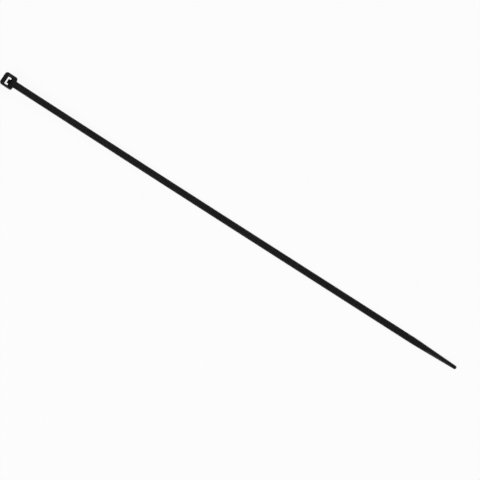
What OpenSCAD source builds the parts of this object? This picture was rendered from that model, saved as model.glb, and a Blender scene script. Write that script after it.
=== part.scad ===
// A self-locking cable tie, moulded in one piece.
// It lies teeth up, as it comes to rest: on the near bottom edge of its head, with the strap
// bending down under its own weight until it lies flat. X runs from the head to the tail.

/* [Strap] */
// Length over all, from the far end of the head to the tip of the tail
tie_l = 275; // [230:1:400]
// Width of the strap
strap_w = 3.6; // [3:0.1:7.6]
// Thickness of the strap over its rails
strap_t = 1.1; // [0.9:0.05:1.6]
// Width of each smooth rail beside the teeth
rail_w = 0.4; // [0.3:0.05:0.6]
// Length over which the strap comes down from the head to the surface that it lies on
sag_l = 170; // [100:5:180]

/* [Teeth] */
// Distance from one tooth to the next
tooth_pitch = 1.09; // [0.9:0.01:1.3]
// Height of a tooth
tooth_h = 0.45; // [0.3:0.05:0.6]
// Flat width of a tooth's crest
crest_l = 0.14; // [0.08:0.02:0.3]
// Lean of a tooth's locking face along the strap
tooth_lean = 0.08; // [0.02:0.02:0.2]
// Depth of the crests below the rails
crest_drop = 0.05; // [0.03:0.01:0.15]
// Smooth length between the head and the first tooth
neck_l = 3; // [1.5:0.1:12]

/* [Tail] */
// Length of the tapered tail
tail_l = 25; // [12:1:40]
// Width of the tail at its round tip
tip_w = 1.9; // [1.6:0.1:2.6]
// Smooth length between the last tooth and the tip
tip_plain_l = 1.6; // [1.2:0.2:8]

/* [Head] */
// Wall between the slot and the far end of the head
far_wall = 1.9; // [0.9:0.05:2.5]
// Wall on each side of the slot
side_wall = 1.4; // [0.8:0.05:2]
// Solid length between the slot and the strap
block_l = 2.05; // [1.6:0.05:3]
// Height of the head
head_h = 4.5; // [4:0.1:6.5]
// Distance by which each side of the head leans in from its top face to its bottom face
head_draft = 0.5; // [0.1:0.05:0.6]
// Radius of the head's upright corners
corner_r = 1.5; // [1.1:0.1:1.6]
// Radius of the edges round the head's top and bottom faces
edge_r = 0.45; // [0.2:0.05:0.5]
// Depth of the strap's rails below the top face of the head
strap_drop = 0.25; // [0.15:0.05:0.5]
// Radius of the fillets where the strap joins the head
neck_r = 0.5; // [0.2:0.1:1]

/* [Slot and pawl] */
// Clearance between the tail and each side of the slot
slot_clear = 0.5; // [0.15:0.05:0.6]
// Bevel round the mouth of the slot
mouth_bevel = 0.3; // [0.1:0.05:0.5]
// Clearance between the pawl and each of the tail's rails
pawl_side_clear = 0.35; // [0.1:0.05:0.5]
// Clearance between a pawl tooth and the root of a tail tooth
pawl_bite_clear = 0.3; // [0.05:0.05:0.35]
// Height of a pawl tooth
pawl_tooth_h = 0.35; // [0.2:0.05:0.6]
// Distance by which each pawl tooth stands back from the one below it
pawl_rake = 0.1; // [0:0.02:0.16]
// Flat between one pawl tooth and the next
pawl_flat = 0.2; // [0.15:0.05:0.3]
// Plain length of the pawl below its lowest tooth
pawl_nose_l = 0.35; // [0.15:0.05:0.5]
// Number of pawl teeth
pawl_teeth = 2; // [1:1:2]
// Thickness of the pawl at its free end
pawl_t = 1; // [0.6:0.05:1.2]
// Room behind the pawl for it to bend into
pawl_room = 1.2; // [0.6:0.05:1.6]
// Distance from the free end of the pawl to the bottom face of the head
pawl_end_gap = 0.6; // [0.3:0.1:1.2]
// Thickness of the web that joins the pawl to the head
web_t = 1; // [0.7:0.1:1.6]
// Length of the web from the strap side of the slot
web_l = 1.1; // [0.6:0.1:1.4]

/* [Hidden] */
// Overlap that joins one solid to the next
join = 0.5;
// Length by which a cut runs past the face that it opens
past = 1;
// Segments of the strap's bend, and of a small fillet
sag_steps = 24;
fillet_steps = 6;
$fn = 64;

slot_w = strap_w + 2 * slot_clear;
pawl_w = strap_w - 2 * (rail_w + pawl_side_clear);
// Distances from the slot's far wall to the tips of the pawl's teeth, to its face and to its back
pawl_tip_x = strap_t - crest_drop - tooth_h + pawl_bite_clear;
pawl_face_x = pawl_tip_x + pawl_tooth_h;
pawl_back_x = pawl_face_x + pawl_t;
slot_l = pawl_back_x + pawl_room;
head_l = far_wall + slot_l + block_l;
head_w = slot_w + 2 * side_wall;
// Height of the strap's underside at the head, above the head's bottom face
seat_h = head_h - strap_drop - strap_t;
// Distances from the sides of the head's top face, drawn to sharp corners, in to the centres
// of the roundings at its top and bottom
draft_angle = atan(head_draft / head_h);
top_in = edge_r * (1 + sin(draft_angle)) / cos(draft_angle);
bottom_in = (edge_r + (head_h - edge_r) * sin(draft_angle)) / cos(draft_angle);
// The strap's weight tips the head, until the strap leaves it along its own bend. The head turns
// about the centre of the rounding that it rests on, and its far end is at -tie_l / 2.
lean = atan(2 * seat_h / sag_l);
far_top_x = (top_in + bottom_in - head_l) * cos(lean) + (head_h - 2 * edge_r) * sin(lean);
far_bottom_x = (2 * bottom_in - head_l) * cos(lean);
pivot_x = edge_r - min(far_top_x, far_bottom_x) - tie_l / 2;
root_x = pivot_x + bottom_in * cos(lean) + (seat_h - edge_r) * sin(lean);
root_z = edge_r - bottom_in * sin(lean) + (seat_h - edge_r) * cos(lean);
tip_x = tie_l / 2;
touch_x = root_x + sag_l;
teeth_x = root_x + neck_l;
tooth_count = floor((tip_x - tip_plain_l + crest_l - teeth_x) / tooth_pitch);
teeth_end_x = teeth_x + tooth_count * tooth_pitch - crest_l;

// Height of the strap's underside: an elastic strip that is free to turn at the head,
// z = root_z (2 s^3 - s^4), where s falls from 1 at the head to 0 where the strip touches down.
function strip(s) = root_z * (2 * pow(s, 3) - pow(s, 4));
function under_z(x) = x < root_x ? root_z + (root_x - x) * tan(lean)
                    : x > touch_x ? 0 : strip((touch_x - x) / sag_l);
function rail_z(x) = under_z(x) + strap_t;
function crest_z(x) = rail_z(x) - crest_drop;
function valley_z(x) = crest_z(x) - tooth_h;

// Where the head's strap side is at a height, in the head's own frame: X from its far end,
// and Z from its bottom face
function strap_face_x(z) = head_l - head_draft * (head_h - z) / head_h;

// A side view, with X along and Z up, given a width across Y
module across(width) {
  translate([0, width / 2, 0])
    rotate([90, 0, 0])
      linear_extrude(width)
        children();
}

// The head in an upright cut through its middle, as long as length before its corners are
// rounded: the sides lean in towards the bottom
module head_outline(length) {
  side = edge_r * [cos(draft_angle), -sin(draft_angle)];
  bottom = [length / 2 - bottom_in, edge_r];
  top = [length / 2 - top_in, head_h - edge_r];
  right = [[bottom.x, 0], bottom + side, top + side, [top.x, head_h]];
  left = [for (i = [3 : -1 : 0]) [-right[i].x, right[i].y]];
  polygon(concat(right, left));
  for (turn = [-1, 1], centre = [bottom, top])
    translate([turn * centre.x, centre.y])
      circle(edge_r);
}

// The head before its slot is cut: two crossed bars, and a turned post in each corner
module head_block() {
  translate([head_l / 2, 0, 0]) {
    across(head_w - 2 * corner_r)
      head_outline(head_l);
    rotate(90)
      across(head_l - 2 * corner_r)
        head_outline(head_w);
    for (end = [-1, 1], side = [-1, 1])
      translate([end * (head_l / 2 - corner_r), side * (head_w / 2 - corner_r), 0])
        rotate_extrude()
          intersection() {
            translate([corner_r - head_w / 2, 0])
              head_outline(head_w);
            square([corner_r, head_h]);
          }
  }
}

// The strap from above: straight sides, a long taper and a round tip that the taper runs into
module strap_plan() {
  half_w = strap_w / 2;
  tip_r = tip_w / 2;
  centre_x = tip_x - tip_r;
  taper_x = tip_x - tail_l;
  run = centre_x - taper_x;
  slope = acos(tip_r / norm([run, half_w])) - atan2(run, half_w);
  end = [centre_x + tip_r * sin(slope), tip_r * cos(slope)];
  polygon([
    [root_x - join, -half_w], [taper_x, -half_w], [end.x, -end.y],
    end, [taper_x, half_w], [root_x - join, half_w]
  ]);
  translate([centre_x, 0])
    circle(tip_r);
}

// The strap from its side, bent down to the surface
module strap_side() {
  bend = [for (i = [0 : sag_steps]) root_x + sag_l * i / sag_steps];
  stations = concat([root_x - join], bend, [tip_x]);
  last = len(stations) - 1;
  polygon(concat(
    [for (x = stations) [x, under_z(x)]],
    [for (i = [last : -1 : 0]) [stations[i], rail_z(stations[i])]]
  ));
}

// The channel between the rails from above
module channel_plan() {
  half_w = strap_w / 2 - rail_w;
  end_half_w = tip_w / 2 - rail_w;
  taper_x = tip_x - tail_l;
  polygon([
    [teeth_x, -half_w], [taper_x, -half_w], [teeth_end_x, -end_half_w],
    [teeth_end_x, end_half_w], [taper_x, half_w], [teeth_x, half_w]
  ]);
}

// What the teeth leave free in the channel, from its side. From each crest a slope falls away
// towards the tail, to the foot of the next tooth's steep face, which is the one that locks.
module teeth_side() {
  gaps = [
    for (i = [0 : tooth_count - 1])
      let (
        crest_x = teeth_x + i * tooth_pitch,
        next_x = crest_x + tooth_pitch - crest_l,
        foot_x = next_x - tooth_lean
      )
        each [[crest_x, crest_z(crest_x)], [foot_x, valley_z(foot_x)], [next_x, crest_z(next_x)]]
  ];
  polygon(concat(
    [[teeth_x, rail_z(teeth_x) + past]],
    gaps,
    [[teeth_end_x, rail_z(teeth_x) + past]]
  ));
}

module strap() {
  difference() {
    intersection() {
      linear_extrude(rail_z(root_x - join) + past)
        strap_plan();
      across(strap_w + 2 * past)
        strap_side();
    }
    intersection() {
      linear_extrude(rail_z(root_x) + 2 * past)
        channel_plan();
      across(strap_w)
        teeth_side();
    }
  }
}

// A quarter-round fillet in the corner at the origin, between a wall at X = 0 and a floor at Y = 0
module fillet_profile(radius, depth) {
  arc = [
    for (i = [0 : fillet_steps])
      radius * [1 - sin(90 * i / fillet_steps), 1 - cos(90 * i / fillet_steps)]
  ];
  polygon(concat([[-depth, -depth], [radius, -depth]], arc, [[-depth, radius]]));
}

// Fillets beside and below the strap where it leaves the head
module neck_fillets() {
  for (side = [0, 1])
    mirror([0, side, 0])
      translate([strap_face_x(seat_h), strap_w / 2, seat_h])
        linear_extrude(strap_t)
          fillet_profile(neck_r, join);
  translate([strap_face_x(seat_h - neck_r), 0, seat_h])
    across(strap_w)
      mirror([0, 1])
        fillet_profile(neck_r, join);
}

// The slot, with a bevel round the far wall and the sides of its mouth
module slot() {
  half_w = slot_w / 2;
  foot_z = head_h - mouth_bevel;
  spread = mouth_bevel + past;
  translate([far_wall, -half_w, -past])
    cube([slot_l, slot_w, head_h + 2 * past]);
  intersection() {
    across(head_w)
      polygon([
        [far_wall, foot_z], [far_wall + slot_l, foot_z],
        [far_wall + slot_l, foot_z + spread], [far_wall - spread, foot_z + spread]
      ]);
    translate([0, 0, foot_z])
      rotate([90, 0, 90])
        linear_extrude(head_l)
          polygon([[-half_w, 0], [half_w, 0], [half_w + spread, spread], [-half_w - spread, spread]]);
  }
}

// The web across the strap side of the slot, which ramps down into the mouth
module web() {
  strap_side_x = far_wall + slot_l;
  across(slot_w + 2 * join)
    polygon([
      [strap_side_x + join, head_h - join], [strap_side_x, head_h],
      [strap_side_x - web_l, head_h - web_l],
      [strap_side_x - web_l, head_h - web_l - web_t / 2],
      [strap_side_x - web_l / 2, head_h - web_l - web_t],
      [strap_side_x + join, head_h - web_l - web_t]
    ]);
}

// The pawl: a springy arm from the web towards the bottom face. Its teeth have the tail's pitch,
// face the far wall, and are steep below, where they lock under the tail's teeth.
module pawl() {
  strap_side_x = far_wall + slot_l;
  face_x = far_wall + pawl_face_x;
  back_x = far_wall + pawl_back_x;
  top_z = head_h - web_l;
  slope_h = tooth_pitch - pawl_flat - tooth_lean;
  teeth = [
    for (i = [0 : pawl_teeth - 1])
      let (
        back = i * pawl_rake,
        foot_z = pawl_end_gap + pawl_nose_l + i * tooth_pitch,
        tip_z = foot_z + tooth_lean
      )
        each [
          [face_x + back, foot_z], [far_wall + pawl_tip_x + back, tip_z],
          [face_x + back + pawl_rake, tip_z + slope_h]
        ]
  ];
  across(pawl_w)
    polygon(concat(
      [[back_x, pawl_end_gap], [face_x, pawl_end_gap]],
      teeth,
      [[strap_side_x - web_l, top_z], [strap_side_x, top_z], [strap_side_x, top_z - web_t]]
    ));
}

module head() {
  difference() {
    head_block();
    slot();
  }
  web();
  pawl();
  neck_fillets();
}

module cable_tie() {
  color([0.1, 0.1, 0.1]) {
    strap();
    translate([pivot_x, 0, edge_r])
      rotate([0, lean, 0])
        translate([bottom_in - head_l, 0, -edge_r])
          head();
  }
}

cable_tie();
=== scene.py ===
# %% [markdown]
# A cable tie is one moulding: a strap with a ladder of fine teeth, and a head with a slot and a
# springy tongue, the pawl, that drops behind those teeth. Nothing is fitted to it afterwards, so
# it ends as one closed mesh here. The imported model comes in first, as a fixed frame. Its sizes are
# exact but its edges are dead sharp, and light shows a moulding by its rounded edges. So the tie is
# drawn again over that frame, to the same sizes, with the edges that a steel mould leaves.

# %% Load the frame
import math

import bmesh
import bpy
import numpy as np
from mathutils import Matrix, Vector


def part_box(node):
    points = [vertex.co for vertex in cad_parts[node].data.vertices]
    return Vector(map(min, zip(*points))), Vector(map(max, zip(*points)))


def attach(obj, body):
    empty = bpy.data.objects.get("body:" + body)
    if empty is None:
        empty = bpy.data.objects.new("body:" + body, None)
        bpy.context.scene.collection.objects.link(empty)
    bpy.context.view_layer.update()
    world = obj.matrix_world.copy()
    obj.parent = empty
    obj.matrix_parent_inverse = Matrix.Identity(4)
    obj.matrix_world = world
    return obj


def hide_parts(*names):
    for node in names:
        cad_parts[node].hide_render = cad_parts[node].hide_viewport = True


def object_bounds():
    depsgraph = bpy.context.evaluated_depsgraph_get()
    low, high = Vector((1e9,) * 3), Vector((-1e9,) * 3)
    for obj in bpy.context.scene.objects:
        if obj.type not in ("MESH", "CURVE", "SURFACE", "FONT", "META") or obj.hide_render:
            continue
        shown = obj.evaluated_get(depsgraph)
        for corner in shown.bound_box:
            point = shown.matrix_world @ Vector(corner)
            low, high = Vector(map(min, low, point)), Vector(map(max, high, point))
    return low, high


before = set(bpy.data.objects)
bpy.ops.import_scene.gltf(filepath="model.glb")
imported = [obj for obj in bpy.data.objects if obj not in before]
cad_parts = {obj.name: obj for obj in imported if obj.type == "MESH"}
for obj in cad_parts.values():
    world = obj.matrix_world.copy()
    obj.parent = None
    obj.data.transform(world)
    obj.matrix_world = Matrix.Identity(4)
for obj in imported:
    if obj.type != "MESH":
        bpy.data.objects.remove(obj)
cad_low, cad_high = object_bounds()
MM = 0.001
cad_box = np.array([cad_low, cad_high]) / MM
print("box of the packed tie, mm:", cad_box.round(3).tolist())

# %% [markdown]
# Every size is a named value in millimetres, because that is how a mould maker's drawing gives
# them, and a mesh is turned into metres only when it is made. The two ends come from the frame.

# %% Sizes of the strap
head_end_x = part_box("cable_tie")[0].x / MM
tip_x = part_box("cable_tie")[1].x / MM
strap_width = 3.6
strap_thick = 1.1
rail_width = 0.4
sag_length = 170
back_edge = 0.2
rail_edge = 0.14
rail_inner_edge = 0.05
parting_height = 0.5
parting_proud = 0.02
tooth_pitch = 1.09
tooth_height = 0.45
crest_flat = 0.14
tooth_lean = 0.08
crest_drop = 0.05
neck_length = 3.0
tail_length = 25
tip_width = 1.9
plain_tip = 1.6
print("length over all:", round(tip_x - head_end_x, 2))

# %% Sizes of the head, its slot and its pawl
far_wall = 1.9
side_wall = 1.4
block_length = 2.05
head_height = 4.5
head_draft = 0.5
corner_radius = 1.5
edge_radius = 0.45
strap_drop = 0.25
neck_radius = 0.5
slot_gap = 0.5
slot_corner = 0.3
mouth_bevel = 0.3
pawl_side_gap = 0.35
pawl_bite_gap = 0.3
pawl_tooth = 0.35
pawl_rake = 0.1
pawl_flat = 0.2
pawl_nose = 0.35
pawl_thick = 1.0
pawl_room = 1.2
pawl_end_gap = 0.6
web_thick = 1.0
web_length = 1.1
slot_width = strap_width + 2 * slot_gap
pawl_width = strap_width - 2 * (rail_width + pawl_side_gap)
pawl_tip = strap_thick - crest_drop - tooth_height + pawl_bite_gap
pawl_face = pawl_tip + pawl_tooth
pawl_back = pawl_face + pawl_thick
slot_length = pawl_back + pawl_room
head_length = far_wall + slot_length + block_length
head_width = slot_width + 2 * side_wall
print("head:", round(head_length, 2), "x", round(head_width, 2), "x", head_height)

# %% [markdown]
# On a table the strap's weight tips the head until the strap leaves it along its own bend. The head
# then rests on the rounding of its bottom edge, next to the strap. The same few lines of geometry
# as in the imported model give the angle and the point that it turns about.

# %% Place the head on the table
seat_height = head_height - strap_drop - strap_thick
draft_angle = math.atan(head_draft / head_height)
top_in = edge_radius * (1 + math.sin(draft_angle)) / math.cos(draft_angle)
bottom_in = (edge_radius + (head_height - edge_radius) * math.sin(draft_angle)) / math.cos(draft_angle)
lean = math.atan(2 * seat_height / sag_length)
far_top_x = (top_in + bottom_in - head_length) * math.cos(lean)
far_top_x += (head_height - 2 * edge_radius) * math.sin(lean)
far_bottom_x = (2 * bottom_in - head_length) * math.cos(lean)
pivot_x = head_end_x + edge_radius - min(far_top_x, far_bottom_x)


def lean_head(u, z):
    """Where a point of the head's side view lies over the table. u runs from the head's far end and z
    from its bottom face; the point turns by the lean about the centre of the rounding it rests on."""
    along = u + bottom_in - head_length
    up = z - edge_radius
    x = pivot_x + along * math.cos(lean) + up * math.sin(lean)
    return x, edge_radius - along * math.sin(lean) + up * math.cos(lean)


root_x, root_z = lean_head(head_length, seat_height)
touch_x = root_x + sag_length
print("lean:", round(math.degrees(lean), 2), "deg; strap leaves the head at height", round(root_z, 2))

# %% [markdown]
# The strap comes down from the head like a bent spring and then lies flat. A strip that is free to
# turn at its high end and lies flat at the other sags along a curve of the fourth degree, which
# is one line of numpy. A drawn curve would need hand-set points, and would never touch down cleanly.

# %% The bend of the strap
def underside(x):
    """Height of the strap's underside: root_z (2 s^3 - s^4), where s falls from 1 at the head to 0
    where the strap touches the table. Inside the head the strap goes on straight, at the lean."""
    s = np.clip((touch_x - x) / sag_length, 0, 1)
    straight = root_z + (root_x - x) * math.tan(lean)
    return np.where(x < root_x, straight, root_z * (2 * s**3 - s**4))


steps_down = np.array([0, 40, 80, sag_length])
print("heights at", steps_down, "mm:", underside(root_x + steps_down).round(2))

# %% [markdown]
# Seen from above the strap is straight, then tapers over its last 25 mm to a round tip, so that it
# finds the slot easily. The taper runs into the tip's circle as a tangent does, without a kink.

# %% The outline of the strap from above
tip_radius = tip_width / 2
tip_centre_x = tip_x - tip_radius
taper_x = tip_x - tail_length
taper_run = tip_centre_x - taper_x
taper_angle = math.acos(tip_radius / math.hypot(taper_run, strap_width / 2))
taper_angle -= math.atan2(taper_run, strap_width / 2)
tangent_x = tip_centre_x + tip_radius * math.sin(taper_angle)
tangent_half = tip_radius * math.cos(taper_angle)


def half_width(x):
    """Half the strap's width: even, then a straight line to the tip's circle, then the circle."""
    taper = np.interp(x, [taper_x, tangent_x], [strap_width / 2, tangent_half])
    circle = np.sqrt(np.clip(tip_radius**2 - (x - tip_centre_x) ** 2, 0, None))
    return np.where(x > tangent_x, circle, taper)


print("half widths at the taper's start, its end and the tip:", half_width(
    np.array([taper_x, tangent_x, tip_x])).round(3))

# %% [markdown]
# The teeth are cut by the mould as a saw profile: a flat crest, a slope away from the head, and a
# steep face that the pawl locks on. A steel mould can't hold a perfectly sharp corner, so each one is
# rounded a little. A parabola between its two edges does that for any angle, for all corners at once.

# %% Round a corner of a profile
def round_corners(before, corner, after, cut, steps):
    """Points along a parabola at each corner P: (1-s)^2 A + 2 s (1-s) P + s^2 B, where A and B lie
    on the edges before and after it, cut away from P. Returns corners x steps x 2."""
    back = before - corner
    ahead = after - corner
    start = corner + back * (cut / np.linalg.norm(back, axis=1))[:, None]
    end = corner + ahead * (cut / np.linalg.norm(ahead, axis=1))[:, None]
    s = np.linspace(0, 1, steps)[:, None]
    return (1 - s) ** 2 * start[:, None] + 2 * s * (1 - s) * corner[:, None] + s**2 * end[:, None]


# %% The saw profile of the teeth
teeth_x = root_x + neck_length
tooth_count = math.floor((tip_x - plain_tip + crest_flat - teeth_x) / tooth_pitch)
teeth_end_x = teeth_x + tooth_count * tooth_pitch - crest_flat
tooth_root = crest_drop + tooth_height
next_crest = tooth_pitch - crest_flat
saw = np.array([
    [-crest_flat, crest_drop], [0, crest_drop], [next_crest - tooth_lean, tooth_root],
    [next_crest, crest_drop], [tooth_pitch, crest_drop],
])
saw_cut = np.array([0.06, 0.09, 0.06])
one_tooth = round_corners(saw[:-2], saw[1:-1], saw[2:], saw_cut, 3).reshape(-1, 2)
first_crests = teeth_x + tooth_pitch * np.arange(tooth_count)
tooth_stations = (first_crests[:, None] + one_tooth[:, 0]).ravel()
tooth_depths = np.tile(one_tooth[:, 1], tooth_count)
rising = np.all(np.diff(tooth_stations) > 0)
print(tooth_count, "teeth,", len(tooth_stations), "stations, rising:", rising)

# %% [markdown]
# The strap is a profile carried along the bend. At each station its outline is the same ring of
# points, and only their places change, so the whole strap is one array of stations x points. The
# stations crowd where the shape turns: in the fillet at the head, at each tooth and round the tip.

# %% Stations along the strap
strap_in_block = 0.5
fillet_sunk = 0.03
fillet_lead = 0.09
neck_plain_x = root_x + 0.9
end_gap = 0.1
fillet_turn = np.radians(np.linspace(0, 90, 13))
neck_stations = np.concatenate([
    [root_x - strap_in_block, root_x - strap_in_block / 2],
    root_x - fillet_lead + neck_radius * (1 - np.cos(fillet_turn)),
    np.linspace(neck_plain_x, teeth_x - end_gap, 4),
])
tip_turn = np.linspace(taper_angle, math.pi / 2, 12)
tail_stations = np.concatenate([
    [teeth_end_x + end_gap, (teeth_end_x + tip_centre_x) / 2],
    tip_centre_x + tip_radius * np.sin(tip_turn),
])
stations = np.concatenate([neck_stations, tooth_stations, tail_stations])
channel_depth = np.zeros(len(stations))
channel_depth[len(neck_stations):-len(tail_stations)] = tooth_depths
print(len(stations), "stations from", stations[0].round(2), "to", stations[-1].round(2))

# %% [markdown]
# The profile has a flat back with round edges, sides with the fine parting line where the two
# halves of the mould met, two smooth rails and the channel between them. Half of it is listed as
# distances in from the side and heights, and the other half is its mirror image.

# %% Half of the strap's profile
quarter = np.radians(np.array([0, 30, 60, 90]))
parting_half = 0.05
side_in = parting_proud
rail_top = strap_thick
back_inset = side_in + back_edge * (1 - np.sin(quarter))
back_height = back_edge * (1 - np.cos(quarter))
side_inset = np.array([side_in, 0, side_in])
side_height = parting_height + np.array([-parting_half, 0, parting_half])
rail_inset = side_in + rail_edge * (1 - np.cos(quarter))
rail_height = rail_top - rail_edge * (1 - np.sin(quarter))
outer_inset = np.concatenate([back_inset, side_inset, rail_inset])
outer_height = np.concatenate([back_height, side_height, rail_height])
print("outer profile, mm in and up:", np.stack([outer_inset, outer_height], 1).round(2).tolist())


# %% The channel between the rails
def channel_half_width(x):
    """Half the channel's width: a rail's width less than the strap's, tapering in a straight line."""
    plain = strap_width / 2 - rail_width
    return np.interp(x, [taper_x, teeth_end_x], [plain, tip_radius - rail_width])


floor_edge = 0.05
depth = channel_depth[:, None]
channel = channel_half_width(stations)[:, None]
inner_y = channel + np.array([rail_inner_edge, 0, 0, -floor_edge])
rail_fall = np.minimum(depth, rail_inner_edge)
floor_fall = np.maximum(depth - floor_edge, rail_fall)
inner_drop = np.concatenate([0 * depth, rail_fall, floor_fall, depth], axis=1)
print("channel half widths, first and last:", channel[[0, -1], 0].round(2))

# %% [markdown]
# Two ends need care. At the head the strap spreads into a small fillet, at its sides and below. At
# the tip its edges stay round although the outline turns, so there the rounding follows the distance
# to the outline, not the distance to the side.

# %% Fillet at the head, and rounding at the tip
def neck_spread(x, height):
    """How far the strap spreads at a distance d from the head's wall: r - sqrt(r^2 - (r - d)^2), a
    quarter circle of radius r. The wall leans, so d depends on the height too. The circle starts a
    little inside the wall, so that the two skins cross at an angle that a union can solve."""
    z = seat_height + height
    wall_x, _ = lean_head(head_length - head_draft * (head_height - z) / head_height, z)
    reach = neck_radius - np.clip(x - wall_x + fillet_sunk, 0, neck_radius)
    return neck_radius - np.sqrt(neck_radius**2 - reach**2)


def edge_fall(x, y, radius):
    """How far a rounded edge falls at a point: radius - sqrt(radius^2 - (radius - d)^2), where d is
    the distance to the tip's circle."""
    gap = tip_radius - np.hypot(np.clip(x - tip_centre_x, 0, None), y)
    reach = radius - np.clip(gap, 0, radius)
    return radius - np.sqrt(radius**2 - reach**2)


near_wall = root_x + np.array([-0.1, 0.16])
print("spread at the wall and 0.25 mm away:", neck_spread(near_wall, 0.0).round(2))

# %% The strap as one array
x = stations[:, None]
half = half_width(stations)[:, None]
inset_scale = np.clip(half / tip_radius, 0, 1)
spread = neck_spread(x, outer_height)
outer_y = half - outer_inset * inset_scale + spread
outer_h = np.repeat(outer_height[None], len(stations), 0)
outer_h[:, :4] -= spread[:, :4]
top_fillet = 0.1
top_fillet_x = root_x + 0.25
top_fillet_length = 0.3
top_rise = top_fillet * np.clip((top_fillet_x - x) / top_fillet_length, 0, 1) ** 2
rise_share = np.array([0.3, 0.8, 1])
outer_h[:, -3:] += top_rise * rise_share
middle = np.zeros((len(stations), 1))
least_rail = 0.02
inner = np.minimum(inner_y, outer_y[:, -1:] - least_rail * inset_scale) * inset_scale
inner_h = rail_top - inner_drop + top_rise
half_y = np.concatenate([middle, outer_y, inner, middle], axis=1)
half_h = np.concatenate([outer_h[:, :1], outer_h, inner_h, inner_h[:, -1:]], axis=1)
past_centre = x > tip_centre_x
back_fall = edge_fall(x, half_y[:, :5], side_in + back_edge)
half_h[:, :5] = np.where(past_centre, back_fall, half_h[:, :5])
top_fall = edge_fall(x, half_y[:, -8:], side_in + rail_edge)
half_h[:, -8:] = np.where(past_centre, rail_top - top_fall, half_h[:, -8:])
print("half profile has", half_y.shape[1], "points")

# %% [markdown]
# A grid of rings becomes a mesh by joining each point to the next one round the ring and to the
# next ring. A ring that closes needs no cap. A strap has two ends, and at its tip the ring shrinks
# to an upright line, whose doubled points are merged, so the skin closes there by itself.

# %% Turn a grid of rings into a closed mesh
def skin(name, rings, endless=False):
    """A mesh from rings x points x 3 in millimetres: each quad spans two neighbours on a ring and on
    the next ring. endless joins the last ring to the first; otherwise both end rings are capped."""
    count, length = rings.shape[:2]
    here = np.arange(count * length).reshape(count, length)
    beside = np.roll(here, -1, 1)
    quads = np.stack([here, beside, np.roll(beside, -1, 0), np.roll(here, -1, 0)], -1)
    faces = (quads if endless else quads[:-1]).reshape(-1, 4).tolist()
    if not endless:
        faces += [here[0, ::-1].tolist(), here[-1].tolist()]
    mesh = bpy.data.meshes.new(name)
    mesh.from_pydata((rings.reshape(-1, 3) * MM).tolist(), [], faces)
    piece = bpy.data.objects.new(name, mesh)
    bpy.context.scene.collection.objects.link(piece)
    tidy_skin(mesh)
    return piece


# %% Merge doubled points and face the skin outwards
def tidy_skin(mesh):
    """Merges points within half a micrometre of each other, drops faces that this folds to nothing,
    turns the faces outwards, and prints the volume and the edges that don't have two faces."""
    work = bmesh.new()
    work.from_mesh(mesh)
    bmesh.ops.remove_doubles(work, verts=work.verts, dist=0.0005 * MM)
    bmesh.ops.dissolve_degenerate(work, edges=work.edges, dist=0.0001 * MM)
    bmesh.ops.recalc_face_normals(work, faces=work.faces)
    if work.calc_volume(signed=True) < 0:
        bmesh.ops.reverse_faces(work, faces=work.faces)
    open_edges = sum(not edge.is_manifold for edge in work.edges)
    print(mesh.name, "faces", len(work.faces), "volume mm3", round(work.calc_volume() / MM**3, 2),
          "open edges", open_edges)
    work.to_mesh(mesh)
    work.free()


# %% The strap's skin
base_z = underside(x)
left = np.stack([np.repeat(x, half_y.shape[1], 1), half_y, base_z + half_h], axis=-1)
right = left[:, -2:0:-1] * np.array([1, -1, 1])
strap = skin("strap", np.concatenate([left, right], axis=1))

# %% [markdown]
# The head is a block with round corners and a slot right through it, so its skin is a ring doughnut:
# one outline, a rectangle with round corners, that grows and shrinks as it goes up the slot, over
# the top, down the outside and back below. All outlines share one list of directions, so point k
# of each level lies outside point k of the one before, and the rings join without a twist.

# %% Rectangles with round corners
corner_steps = 17
side_steps = 7
corner_turn = np.linspace(0, math.pi / 2, corner_steps)
side_share = np.linspace(0, 1, side_steps + 2)[1:-1]
quarter_turn = np.append(corner_turn, np.full(side_steps, math.pi / 2))
ring_turn = np.concatenate([quarter_turn + k * math.pi / 2 for k in range(4)])
corner_signs = np.array([[1, 1], [-1, 1], [-1, -1], [1, -1]])
ring_seat = np.concatenate([
    np.concatenate([
        np.repeat(corner_signs[k][None], corner_steps, 0),
        corner_signs[k] + side_share[:, None] * (corner_signs[(k + 1) % 4] - corner_signs[k]),
    ])
    for k in range(4)
])


def outlines(low_u, high_u, half, radius, z):
    """One outline for each level: a corner's centre, plus the radius along the direction that the
    point faces; along a straight side the centre slides from one corner's to the next."""
    half_length = (high_u - low_u) / 2 - radius
    u = ((high_u + low_u) / 2)[:, None] + ring_seat[:, 0] * half_length[:, None]
    u = u + np.cos(ring_turn) * radius[:, None]
    y = ring_seat[:, 1] * (half - radius)[:, None] + np.sin(ring_turn) * radius[:, None]
    levels_x, levels_z = lean_head(u, np.repeat(z[:, None], len(ring_turn), 1))
    return np.stack([levels_x, y, levels_z], axis=-1)


print("points round an outline:", len(ring_turn))

# %% [markdown]
# The outside leans in towards the bottom, so that the head lets go of the mould, and both its edges
# are rounded as arcs. Like the strap it has a fine parting line, at the same height.

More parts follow.
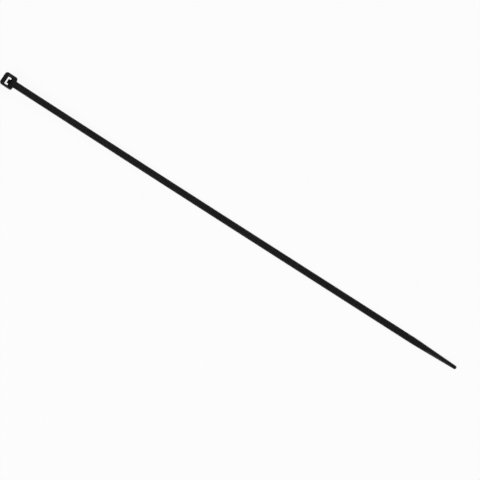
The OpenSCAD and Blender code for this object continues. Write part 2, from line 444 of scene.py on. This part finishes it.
# %% The outside of the head
top_turn = np.linspace(math.pi / 2, -draft_angle, 10)
bottom_turn = np.linspace(-draft_angle, -math.pi / 2, 10)
parting_z = seat_height + parting_height + np.array([parting_half, 0, -parting_half])
wall_in = head_draft * (head_height - parting_z) / head_height
on_top_face = 1.5 * top_in
on_bottom_face = 1.3 * bottom_in
outside_in = np.concatenate([
    [on_top_face], top_in - edge_radius * np.cos(top_turn),
    wall_in - parting_proud * np.array([0, 1, 0]),
    bottom_in - edge_radius * np.cos(bottom_turn), [on_bottom_face],
])
outside_z = np.concatenate([
    [head_height], head_height - edge_radius + edge_radius * np.sin(top_turn),
    parting_z,
    edge_radius + edge_radius * np.sin(bottom_turn), [0],
])
outside = outlines(outside_in, head_length - outside_in, head_width / 2 - outside_in,
                   corner_radius - outside_in, outside_z)
print("levels outside:", len(outside_z))

# %% [markdown]
# The slot takes the tail, teeth towards the pawl. Its mouth is bevelled round three sides to guide the
# tail in, and its lower edge is just rounded. On the fourth side the web ramps down instead.

# %% The inside of the slot
slot_far = far_wall
slot_near = far_wall + slot_length
foot_edge = 0.15
foot_turn = np.linspace(0, math.pi / 2, 5)
mouth = np.array([[0, head_height / 2], [0, head_height - mouth_bevel], [mouth_bevel, head_height],
                  [2 * mouth_bevel, head_height]])
mouth_cut = np.array([0.08, 0.1])
mouth_edges = round_corners(mouth[:-2], mouth[1:-1], mouth[2:], mouth_cut, 4).reshape(-1, 2)
inside_out = np.concatenate([foot_edge * (1 - np.sin(foot_turn)), [0], mouth_edges[:, 0]])
inside_z = np.concatenate([foot_edge * (1 - np.cos(foot_turn)), [head_height / 2], mouth_edges[:, 1]])
near_out = np.where(inside_z > head_height / 2, 0, inside_out)
inside = outlines(slot_far - inside_out, slot_near + near_out, slot_width / 2 + inside_out,
                  slot_corner + inside_out, inside_z)
head = skin("head", np.concatenate([inside, outside]), endless=True)

# %% [markdown]
# The web and the pawl are plates: a side view carried across the head. Their outlines have few
# points, and the corner rounding from the teeth serves here too. The outline shrinks a little at
# each side, which rounds the pawl's long edges. Plates run on inside the block, and their faces stay
# a hundredth of a millimetre off its faces, because a union can't sort out two faces in one plane.

# %% A plate from its side view
def plate(name, outline, cut, half, edge):
    """A side view carried from -half to half. On the last stretch at each side the outline moves in
    by edge (1 - sin t) while it goes out by edge cos t, a quarter circle."""
    corners = round_corners(np.roll(outline, 1, 0), outline, np.roll(outline, -1, 0), cut, 5)
    drawn = corners.reshape(-1, 2)
    way = np.roll(drawn, -1, 0) - np.roll(drawn, 1, 0)
    inward = np.stack([-way[:, 1], way[:, 0]], 1) / np.linalg.norm(way, axis=1)[:, None]
    area = np.sum(drawn[:, 0] * np.roll(drawn[:, 1], -1) - drawn[:, 1] * np.roll(drawn[:, 0], -1))
    turn = np.linspace(0, math.pi / 2, 4)
    shrink = edge * (1 - np.sin(turn))
    out = half - edge * (1 - np.cos(turn))
    moved_in = np.concatenate([shrink, shrink[::-1]])[:, None, None]
    side_y = np.concatenate([-out, out[::-1]])
    side_view = drawn[None] + moved_in * inward * np.sign(area)
    plate_x, plate_z = lean_head(side_view[..., 0], side_view[..., 1])
    y = np.repeat(side_y[:, None], len(drawn), 1)
    return skin(name, np.stack([plate_x, y, plate_z], axis=-1))


# %% The web
hidden = 0.5
sunk = 0.01
web_edge = 0.1
web_foot = head_height - web_length
web_outline = np.array([
    [slot_near + hidden, head_height - hidden - 2 * sunk], [slot_near - sunk, head_height - sunk],
    [slot_near - web_length, web_foot], [slot_near - web_length, web_foot - web_thick / 2],
    [slot_near - web_length / 2, web_foot - web_thick], [slot_near + hidden, web_foot - web_thick],
])
web_cut = np.array([0.05, 0.005, 0.15, 0.15, 0.2, 0.05])
web = plate("web", web_outline, web_cut, slot_width / 2 + hidden, web_edge)

# %% [markdown]
# The pawl hangs from the web towards the bottom face. Its two teeth have the pitch of the tail's and
# are steep below, where they lock under the tail's teeth when it is pulled back.

# %% The pawl
face_u = far_wall + pawl_face
back_u = far_wall + pawl_back
tooth_slope = tooth_pitch - pawl_flat - tooth_lean
tooth_foot = pawl_end_gap + pawl_nose + tooth_pitch * np.arange(2)
stand_back = pawl_rake * np.arange(2)
pawl_teeth = np.stack([
    np.stack([face_u + stand_back, tooth_foot], 1),
    np.stack([far_wall + pawl_tip + stand_back, tooth_foot + tooth_lean], 1),
    np.stack([face_u + stand_back + pawl_rake, tooth_foot + tooth_lean + tooth_slope], 1),
], axis=1).reshape(-1, 2)
pawl_edge = 0.08
pawl_root_u = slot_near + 0.1
pawl_root_z = web_foot - 3 * sunk
pawl_outline = np.concatenate([
    [[back_u, pawl_end_gap], [face_u, pawl_end_gap]], pawl_teeth,
    [[slot_near - web_length + 2 * sunk, pawl_root_z], [pawl_root_u, pawl_root_z],
     [pawl_root_u, web_foot - web_thick]],
])
pawl_cut = np.array([0.25, 0.15, 0.05, 0.05, 0.05, 0.05, 0.05, 0.05, 0.1, 0.02, 0.02])
pawl = plate("pawl", pawl_outline, pawl_cut, pawl_width / 2, pawl_edge)

# %% [markdown]
# Four closed skins overlap now, and a real moulding has one. A boolean union keeps only the outer
# surface. The Manifold solver is exact and fast on closed meshes, which these are.

# %% Join the four skins into one
def join_skins(name, first, others):
    """The union of closed meshes, worked out by one boolean modifier for each and then fixed as a
    plain mesh. The drawings that it was made from are deleted."""
    for other in others:
        union = first.modifiers.new("join " + other.name, "BOOLEAN")
        union.operation = "UNION"
        union.solver = "MANIFOLD"
        union.object = other
    seen = first.evaluated_get(bpy.context.evaluated_depsgraph_get())
    mesh = bpy.data.meshes.new_from_object(seen)
    mesh.name = name
    piece = bpy.data.objects.new(name, mesh)
    bpy.context.scene.collection.objects.link(piece)
    for drawing in [first, *others]:
        bpy.data.objects.remove(drawing)
    return piece


moulding = join_skins("tie_moulding", strap, [head, web, pawl])
tidy_skin(moulding.data)

# %% [markdown]
# A moulding's rounded edges should shade as rounded and its flats as flat. Smooth shading alone
# bends the light on a flat next to a small rounding. Weighted normals let the large faces decide,
# and edges sharper than 60 degrees stay crisp.

# %% Shade the edges
moulding.data.polygons.foreach_set("use_smooth", np.ones(len(moulding.data.polygons), bool))
moulding.data.set_sharp_from_angle(angle=math.radians(60))
weighted = moulding.modifiers.new("flats stay flat", "WEIGHTED_NORMAL")
weighted.keep_sharp = True
weighted.weight = 80


# %% [markdown]
# The material is nylon 66, the usual one for ties, with carbon black in it against sunlight. From a
# polished steel mould it comes out a soft satin black: deep colour, blurred reflections.

# %% Colours and nodes
def linear(code):
    """sRGB hex to linear: c / 12.92 near black, else ((c + 0.055) / 1.055)^2.4."""
    c = np.array([int(code[i:i + 2], 16) for i in (1, 3, 5)]) / 255
    return (*np.where(c <= 0.04045, c / 12.92, ((c + 0.055) / 1.055) ** 2.4).tolist(), 1)


def add_node(tree, kind, settings=None, values=None, links=None):
    """Adds one node: settings are its properties, values its socket values, links its inputs."""
    node = tree.nodes.new(kind)
    for key, value in (settings or {}).items():
        setattr(node, key, value)
    for key, value in (values or {}).items():
        node.inputs[key].default_value = value
    for key, source in (links or {}).items():
        tree.links.new(source, node.inputs[key])
    return node


print("middle grey in linear light:", [round(c, 4) for c in linear("#808080")])

# %% Moulded black nylon, and millimetres to measure it in
nylon = bpy.data.materials.new("moulded black nylon 66")
nylon.use_nodes = True
tree = nylon.node_tree
tree.nodes.clear()
place = add_node(tree, "ShaderNodeTexCoord")
in_mm = add_node(tree, "ShaderNodeVectorMath", {"operation": "SCALE"}, {"Scale": 1 / MM},
                 {0: place.outputs["Object"]})

# %% [markdown]
# Carbon black never mixes in quite evenly. Noise as wide as 8 mm drifts between two near blacks, so
# little that it shows only when two stretches of the strap are compared.

# %% Tone
drift_size = 8
drift_noise = {"Scale": 1 / drift_size, "Detail": 2.0, "Roughness": 0.5}
drift = add_node(tree, "ShaderNodeTexNoise", values=drift_noise, links={"Vector": in_mm.outputs[0]})
darker = linear("#0d0d0e")
lighter = linear("#131314")
tone = add_node(tree, "ShaderNodeMix", {"data_type": "RGBA"}, {6: darker, 7: lighter},
                {0: drift.outputs[0]})
print("tone drifts between", round(darker[0], 4), "and", round(lighter[0], 4))

# %% [markdown]
# Molten nylon runs from the gate at the head to the tip, and leaves faint streaks along the strap.
# Stretching the coordinates before the noise draws them: 30 mm along, half a millimetre across. They
# change how blurred the reflection is, as on a real moulding, and leave the colour alone.

# %% Flow streaks in the gloss
streak_size = (1 / 30, 1 / 0.5, 1 / 0.5)
stretched = add_node(tree, "ShaderNodeVectorMath", {"operation": "MULTIPLY"}, {1: streak_size},
                     {0: in_mm.outputs[0]})
streaks = add_node(tree, "ShaderNodeTexNoise", values={"Scale": 1.0, "Detail": 3.0, "Roughness": 0.55},
                   links={"Vector": stretched.outputs[0]})
smoothest = 0.33
roughest = 0.43
gloss = add_node(tree, "ShaderNodeMapRange", values={1: 0.3, 2: 0.7, 3: smoothest, 4: roughest},
                 links={0: streaks.outputs[0]})
print("roughness from", smoothest, "to", roughest)

# %% [markdown]
# The mould's polish leaves a fine grain. The real one is under 0.05 mm; it is drawn at 0.12 mm here,
# the finest that a close view can still show. Its height is a few thousandths of a millimetre.

# %% Grain
grain_size = 0.12
grain_height = 0.006
grain_noise = {"Scale": 1 / grain_size, "Detail": 2.0, "Roughness": 0.6}
grain = add_node(tree, "ShaderNodeTexNoise", values=grain_noise, links={"Vector": in_mm.outputs[0]})
grain_bump = add_node(tree, "ShaderNodeBump", values={"Strength": 0.5, "Distance": grain_height * MM},
                      links={"Height": grain.outputs[0]})

# %% [markdown]
# Round pins push the tie out of its mould, and each leaves a ring on the smooth back. The distance to
# the nearest pin comes from the place along the strap, folded at each pin pitch. Only faces
# that look down get the marks.

# %% Ejector marks on the back
pin_pitch = 22.0
pin_radius = 1.1
pin_edge = 0.04
pin_depth = 0.03
axes = add_node(tree, "ShaderNodeSeparateXYZ", links={0: in_mm.outputs[0]})
folded = add_node(tree, "ShaderNodeMath", {"operation": "PINGPONG"}, {1: pin_pitch / 2},
                  {0: axes.outputs[0]})
flat_place = add_node(tree, "ShaderNodeCombineXYZ", links={0: folded.outputs[0], 1: axes.outputs[1]})
from_pin = add_node(tree, "ShaderNodeVectorMath", {"operation": "LENGTH"},
                    links={0: flat_place.outputs[0]})
ring = add_node(tree, "ShaderNodeMapRange", {"interpolation_type": "SMOOTHSTEP"},
                {1: pin_radius - pin_edge, 2: pin_radius + pin_edge, 3: 0.0, 4: 1.0},
                {0: from_pin.outputs["Value"]})
facing = add_node(tree, "ShaderNodeSeparateXYZ", links={0: place.outputs["Normal"]})
down = add_node(tree, "ShaderNodeMath", {"operation": "LESS_THAN"}, {1: -0.9}, {0: facing.outputs[2]})
marks = add_node(tree, "ShaderNodeMath", {"operation": "MULTIPLY"},
                 links={0: ring.outputs[0], 1: down.outputs[0]})
pin_bump = add_node(tree, "ShaderNodeBump", values={"Strength": 1.0, "Distance": pin_depth * MM},
                    links={"Height": marks.outputs[0], "Normal": grain_bump.outputs[0]})

# %% The finished nylon
surface = add_node(tree, "ShaderNodeBsdfPrincipled", values={"IOR": 1.53}, links={
    "Base Color": tone.outputs[2], "Roughness": gloss.outputs[0], "Normal": pin_bump.outputs[0]})
add_node(tree, "ShaderNodeOutputMaterial", links={"Surface": surface.outputs[0]})
moulding.data.materials.clear()
moulding.data.materials.append(nylon)
print("nodes in the nylon:", len(tree.nodes))

# %% [markdown]
# The tie is one piece on one body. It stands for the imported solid, which stays for the physics.

# %% Put the moulding in the frame
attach(moulding, "root")
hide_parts("cable_tie")

# %% [markdown]
# The set is a white table, seen from almost straight above. Paper that only scatters the lamps' light
# comes out a little grey, and more light would grey the black tie too. So most of the table's
# white is mixed in for camera rays and reflections alone, and the rest still takes the tie's shadow.
# A reflection that meets the paper within 20 mm shows it as it is lit: dark, right under the tie.

# %% A white table
floor_size = 40.0
paper_share = 0.93
contact_reach = 0.02
floor_drop = 0.02
floor_mesh = bpy.data.meshes.new("table")
corners = np.array([[-1, -1], [1, -1], [1, 1], [-1, 1]]) * floor_size / 2
floor_mesh.from_pydata([(cx, cy, -floor_drop * MM) for cx, cy in corners.tolist()], [], [(0, 1, 2, 3)])
floor = bpy.data.objects.new("table", floor_mesh)
bpy.context.scene.collection.objects.link(floor)
paper = bpy.data.materials.new("white paper")
paper.use_nodes = True


def seen_ray(tree):
    """1 for camera rays, reflections and rays through glass, 0 for the light that falls on things."""
    ray = add_node(tree, "ShaderNodeLightPath")
    direct = add_node(tree, "ShaderNodeMath", {"operation": "MAXIMUM"},
                      links={0: ray.outputs["Is Camera Ray"], 1: ray.outputs["Is Glossy Ray"]})
    return add_node(tree, "ShaderNodeMath", {"operation": "MAXIMUM"},
                    links={0: direct.outputs[0], 1: ray.outputs["Is Transmission Ray"]})


tree = paper.node_tree
tree.nodes.clear()
matt = add_node(tree, "ShaderNodeBsdfDiffuse", values={"Color": linear("#f4f4f4")})
white = add_node(tree, "ShaderNodeEmission", values={"Color": (1, 1, 1, 1), "Strength": 1.0})
ray = add_node(tree, "ShaderNodeLightPath")
close = add_node(tree, "ShaderNodeMath", {"operation": "LESS_THAN"}, {1: contact_reach},
                 {0: ray.outputs["Ray Length"]})
contact = add_node(tree, "ShaderNodeMath", {"operation": "MULTIPLY"},
                   links={0: close.outputs[0], 1: ray.outputs["Is Glossy Ray"]})
seen = add_node(tree, "ShaderNodeMath", {"operation": "SUBTRACT"},
                links={0: seen_ray(tree).outputs[0], 1: contact.outputs[0]})
share = add_node(tree, "ShaderNodeMath", {"operation": "MULTIPLY"}, {1: paper_share},
                 {0: seen.outputs[0]})
mixed = add_node(tree, "ShaderNodeMixShader", links={
    0: share.outputs[0], 1: matt.outputs[0], 2: white.outputs[0]})
add_node(tree, "ShaderNodeOutputMaterial", links={"Surface": mixed.outputs[0]})
floor_mesh.materials.append(paper)
print("table", floor_size, "m wide, white share", paper_share)

# %% [markdown]
# A satin black face mirrors what is over it. So the light comes from wide soft panels at the sides,
# and the place over the camera stays dim: the flats stay black and the rounded edges shine. A weak
# panel beyond the tail rakes over the teeth, so that each slope is lit down to its neighbour's shadow.

# %% Soft panels round the tie
def soft_panel(name, azimuth, elevation, distance, width, height, power):
    """A large area light that faces the tie: azimuth is measured from +X towards +Y."""
    light = bpy.data.lights.new(name, "AREA")
    light.shape = "RECTANGLE"
    light.size = width
    light.size_y = height
    light.energy = power
    lamp = bpy.data.objects.new(name, light)
    a = math.radians(azimuth)
    e = math.radians(elevation)
    spot = Vector((math.cos(a) * math.cos(e), math.sin(a) * math.cos(e), math.sin(e))) * distance
    lamp.location = spot
    lamp.rotation_euler = (-spot).to_track_quat("-Z", "Y").to_euler()
    bpy.context.scene.collection.objects.link(lamp)
    print(name, "at", [round(v, 2) for v in spot], power, "W")


soft_panel("front panel", -100, 42, 1.6, 2.4, 0.8, 22)
soft_panel("back panel", 80, 38, 1.8, 2.4, 0.6, 13)
soft_panel("end panel", 6, 42, 1.6, 0.8, 0.8, 0.5)

# %% [markdown]
# The room has white walls and a dim ceiling. The height of a direction, its z, tells one from the
# other. The walls' white is for what is seen, straight or in a reflection, and gives no light.

# %% The room
room = bpy.data.worlds.new("room")
room.use_nodes = True
tree = room.node_tree
tree.nodes.clear()
direction = add_node(tree, "ShaderNodeTexCoord")
height = add_node(tree, "ShaderNodeSeparateXYZ", links={0: direction.outputs["Generated"]})
wall_top = 0.08
ceiling_edge = 0.16
ceiling_light = 0.06
wall = add_node(tree, "ShaderNodeMapRange", {"interpolation_type": "SMOOTHSTEP"},
                {1: wall_top, 2: ceiling_edge, 3: 1.0, 4: 0.0}, {0: height.outputs[2]})
white_part = add_node(tree, "ShaderNodeMath", {"operation": "MULTIPLY"},
                      links={0: wall.outputs[0], 1: seen_ray(tree).outputs[0]})
ceiling = add_node(tree, "ShaderNodeBackground",
                   values={"Color": (1, 1, 1, 1), "Strength": ceiling_light})
walls = add_node(tree, "ShaderNodeBackground", values={"Color": (1, 1, 1, 1), "Strength": 1.0})
mixed = add_node(tree, "ShaderNodeMixShader", links={
    0: white_part.outputs[0], 1: ceiling.outputs[0], 2: walls.outputs[0]})
add_node(tree, "ShaderNodeOutputWorld", links={"Surface": mixed.outputs[0]})
bpy.context.scene.world = room

# %% [markdown]
# The camera stands far off with a long lens, a little to the side of straight above.

# %% The camera
aim = Vector((0.01021, -0.00443, 0.001))
view_azimuth = math.radians(-32.985)
view_elevation = math.radians(80.7)
seen_width = 0.24409
view_angle = math.radians(9.5)
camera = bpy.data.objects.new("camera", bpy.data.cameras.new("camera"))
look = Vector((math.sin(view_azimuth) * math.cos(view_elevation),
               math.cos(view_azimuth) * math.cos(view_elevation), -math.sin(view_elevation)))
camera.location = aim - look * (seen_width / 2 / math.tan(view_angle / 2))
camera.rotation_euler = look.to_track_quat("-Z", "Y").to_euler()
camera.data.angle = view_angle
camera.data.clip_start = 0.01
camera.data.clip_end = 50
bpy.context.scene.collection.objects.link(camera)
bpy.context.scene.camera = camera
bpy.context.scene.view_settings.view_transform = "Standard"
print("camera at", [round(v, 3) for v in camera.location])
